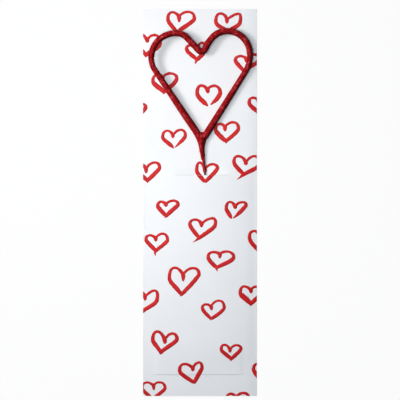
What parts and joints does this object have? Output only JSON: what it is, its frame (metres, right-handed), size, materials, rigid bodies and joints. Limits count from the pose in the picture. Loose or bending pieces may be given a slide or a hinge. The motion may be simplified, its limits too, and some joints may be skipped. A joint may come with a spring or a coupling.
{
  "type": "sparkler",
  "caption": "Red heart-shaped sparkler on a bent wire whose stem slides into the slit of a tall, narrow, folded gift card printed with brushed hearts.",
  "frame": {"origin": "centre of the card's outline, on the surface that the card lies on", "axes": "+X across the card to the right, +Y up the card towards the heart, +Z out of the printed face"},
  "size_m": [0.056, 0.19, 0.0099],
  "materials": {
    "steel_wire": "dull drawn iron wire, darkened by the dip",
    "red_coat": "dipped sparkler composition, semi-gloss with a fine metallic grain",
    "printed_card": "smooth coated board with red brushed hearts printed on it",
    "plain_card": "smooth coated board, unprinted",
    "glue": "dried paper glue"
  },
  "bodies": {
    "card": {"front_panel": "printed_card", "back_panel": "plain_card", "seam_flap": "plain_card", "seam_glue": "glue", "bottom_tab": "plain_card", "tab_glue": "glue"},
    "sparkler": {"sparkler_wire": "steel_wire", "sparkler_coat": "red_coat"}
  },
  "joints": [
    {"name": "sparkler_pull", "type": "slide", "parent": "card", "child": "sparkler", "axis": [-0.0762, 0.997, 0.0102], "range_m": [0, 0.086]}
  ]
}
